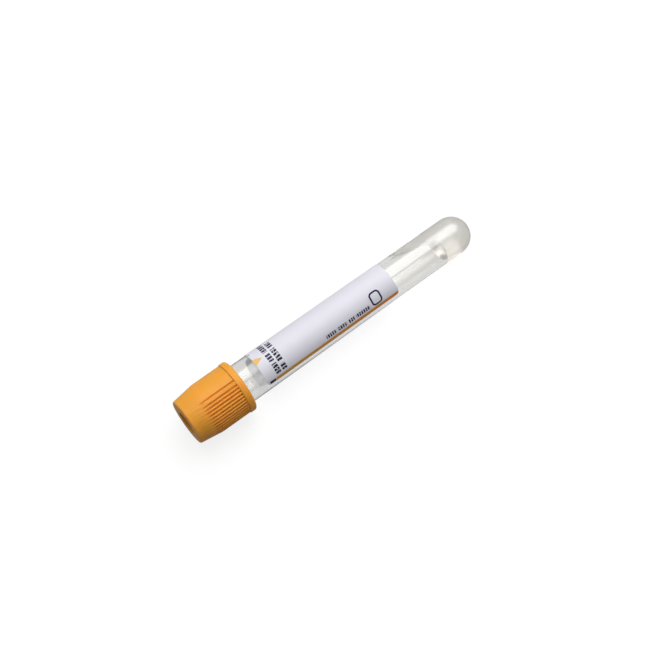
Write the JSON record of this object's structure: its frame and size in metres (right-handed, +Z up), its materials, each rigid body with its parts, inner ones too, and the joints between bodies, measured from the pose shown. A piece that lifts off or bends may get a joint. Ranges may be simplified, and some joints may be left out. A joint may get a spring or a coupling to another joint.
{
  "type": "blood collection tube",
  "caption": "Evacuated blood collection tube: clear round-bottomed plastic tube with separator gel, a printed label and a ribbed gold safety cap over a rubber stopper.",
  "frame": {"origin": "On the table, under the middle of the lying tube's box.", "axes": "+X runs along the lying tube from its cap to its round end, +Z is up."},
  "size_m": [0.1082, 0.0172, 0.0171],
  "materials": {
    "clear_pet": "clear injection moulded PET, glossy",
    "separator_gel": "translucent thixotropic polyester gel",
    "label_paper": "coated paper label, printed",
    "gold_cap": "moulded low density polyethylene, satin",
    "stopper_rubber": "moulded bromobutyl rubber, red-brown"
  },
  "bodies": {
    "tube_body": {"tube": "clear_pet", "separator_gel": "separator_gel", "label": "label_paper"},
    "closure": {"safety_cap": "gold_cap", "stopper": "stopper_rubber"}
  },
  "joints": [
    {"name": "closure_slide", "type": "slide", "parent": "tube_body", "child": "closure", "axis": [-0.9996, 0, 0.0271], "range_m": [0, 0.03]}
  ]
}
